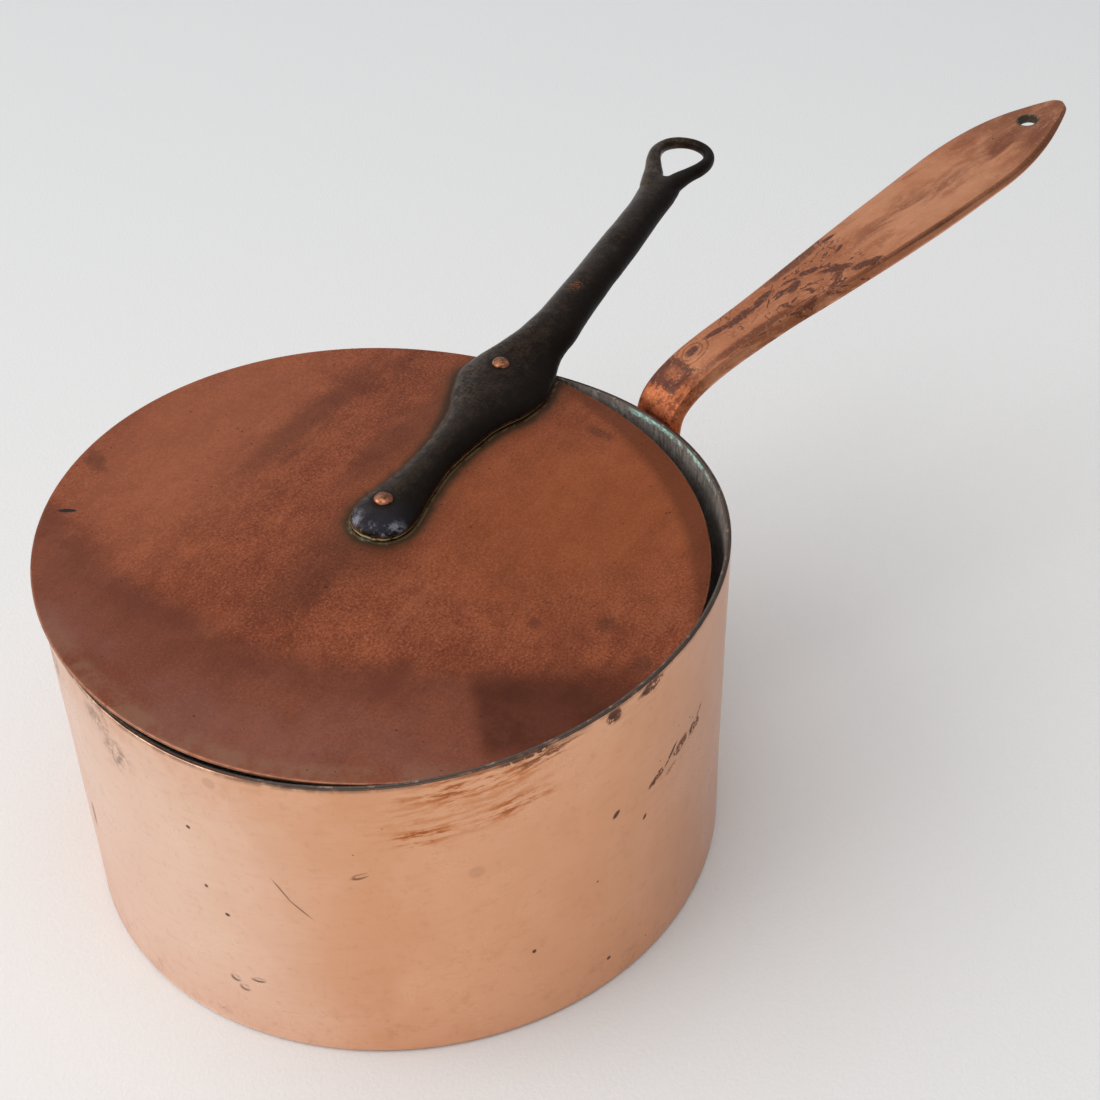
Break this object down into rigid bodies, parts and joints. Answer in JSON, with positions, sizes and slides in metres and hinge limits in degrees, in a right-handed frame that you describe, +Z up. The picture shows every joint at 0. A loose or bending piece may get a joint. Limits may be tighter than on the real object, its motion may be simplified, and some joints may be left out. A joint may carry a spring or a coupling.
{
  "type": "saucepan with lid",
  "caption": "Straight-sided copper saucepan, tinned inside, with a riveted bar handle, and a loose flat lid lifted by a long forged-iron handle ending in a loop.",
  "frame": {"origin": "centre of the flat underside of the base", "axes": "+Z up out of the pan, +X out along the pan handle, +Y to the left of the handle seen from above"},
  "size_m": [0.4835, 0.2762, 0.1976],
  "materials": {
    "pan_copper": "polished copper",
    "pan_tin": "old dull tin",
    "handle_copper": "worn copper with tarnish",
    "pan_rivets": "satin copper",
    "lid_copper": "brown patina on copper",
    "lid_tin": "old dull tin",
    "lid_iron": "black forged iron",
    "lid_rivets": "satin copper"
  },
  "bodies": {
    "pan": {"pan_wall": "pan_copper", "pan_base": "pan_copper", "pan_tinning": "pan_tin", "pan_handle": "handle_copper", "pan_handle_rivet_left": "pan_rivets", "pan_handle_rivet_right": "pan_rivets", "pan_handle_rivet_lower": "pan_rivets"},
    "lid": {"lid_disc": "lid_copper", "lid_tinning": "lid_tin", "lid_handle": "lid_iron", "lid_handle_rivet_inner": "lid_rivets", "lid_handle_rivet_outer": "lid_rivets"}
  },
  "joints": [
    {"name": "lid_lift", "type": "slide", "parent": "pan", "child": "lid", "axis": [0, 0, 1], "range_m": [0, 0.2]}
  ]
}
